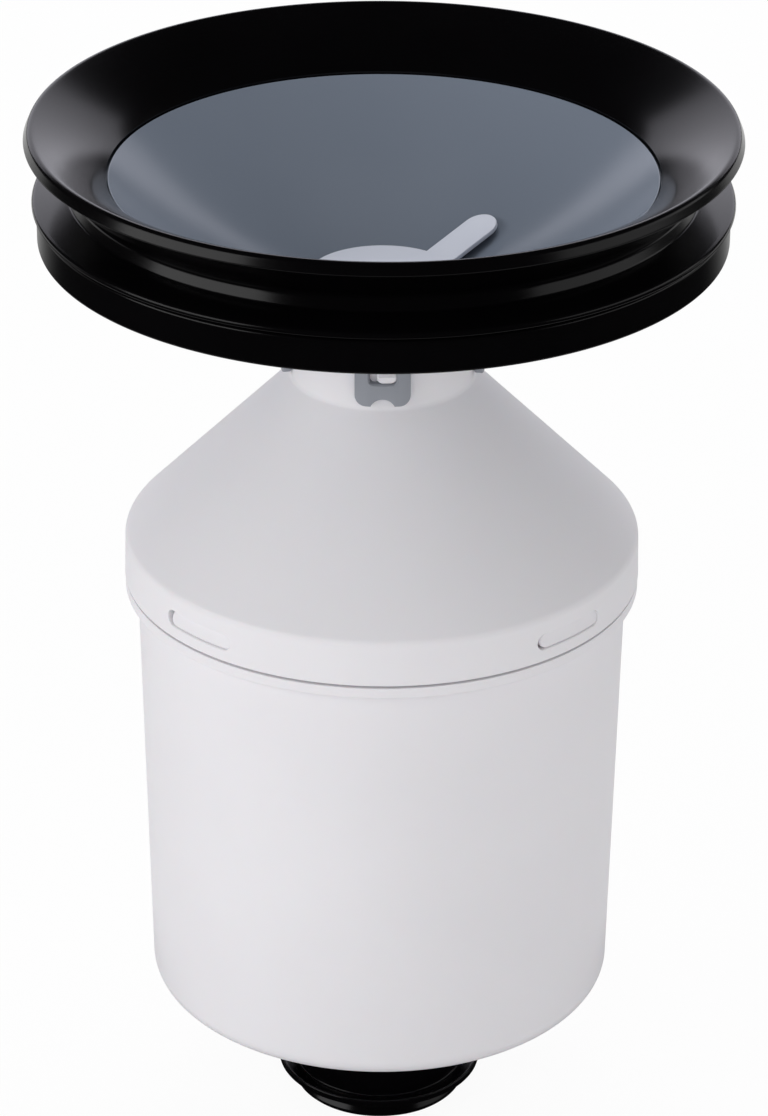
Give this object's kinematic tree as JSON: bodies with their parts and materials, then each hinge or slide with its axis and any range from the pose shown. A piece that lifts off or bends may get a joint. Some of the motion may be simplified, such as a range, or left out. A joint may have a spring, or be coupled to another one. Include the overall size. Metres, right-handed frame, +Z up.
{
  "type": "odour trap",
  "caption": "Bell-type odour trap cartridge for a urinal waste: funnel with lip seal on a white cone and cup, sealed outlet below.",
  "frame": {"origin": "on the trap's axis at the lower end of the outlet seal", "axes": "+Z up along the axis, from the outlet to the funnel; the front clip faces -Y"},
  "size_m": [0.1248, 0.1248, 0.1945],
  "materials": {
    "black_rubber": "satin",
    "grey_plastic": "semi-gloss",
    "pale_plastic": "satin",
    "white_plastic": "satin"
  },
  "bodies": {
    "root": {"inlet_lip_seal": "black_rubber", "inlet_funnel": "grey_plastic", "drain_cover": "pale_plastic", "neck_o_ring": "black_rubber", "trap_cover": "white_plastic", "rim_gasket": "black_rubber", "dip_bell": "white_plastic", "trap_cup": "white_plastic", "outlet_lip_seal": "black_rubber"}
  },
  "joints": []
}
